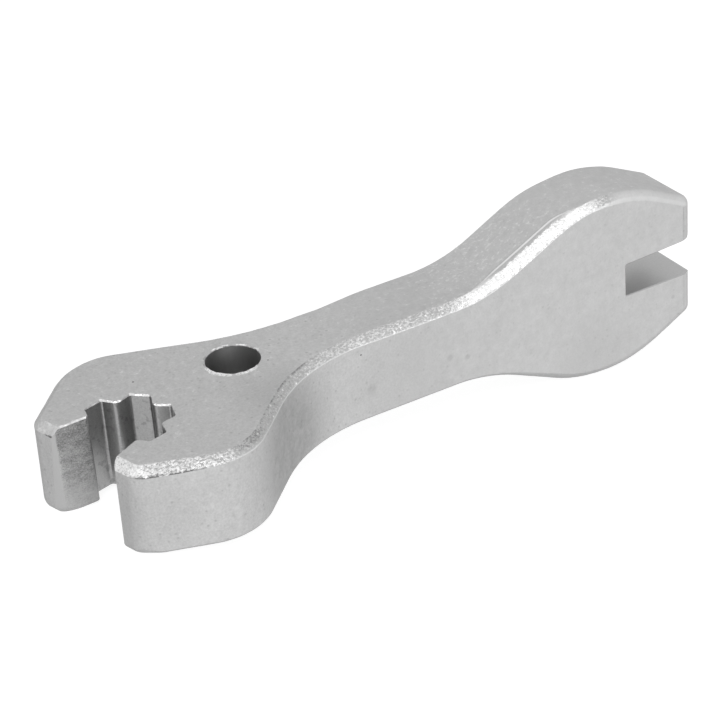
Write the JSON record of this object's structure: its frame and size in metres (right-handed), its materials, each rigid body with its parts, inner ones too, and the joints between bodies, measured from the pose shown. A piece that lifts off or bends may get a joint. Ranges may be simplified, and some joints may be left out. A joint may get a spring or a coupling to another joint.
{
  "type": "spoke wrench",
  "caption": "Spoke wrench with an open splined jaw on a tilted head, a slotted head set crosswise, and a hang hole through the handle.",
  "frame": {"origin": "centre of the hang hole, halfway through the thickness of the handle", "axes": "+X along the handle towards the slotted head, +Z along the hang hole and square to the flats of the splined head, +Y towards the side that the splined head leans away from"},
  "size_m": [0.0666, 0.0221, 0.019],
  "materials": {
    "steel": "dull plated casting with a fine rough skin, and cleaner metal on the cut faces"
  },
  "bodies": {
    "root": {"wrench_body": "steel"}
  },
  "joints": []
}
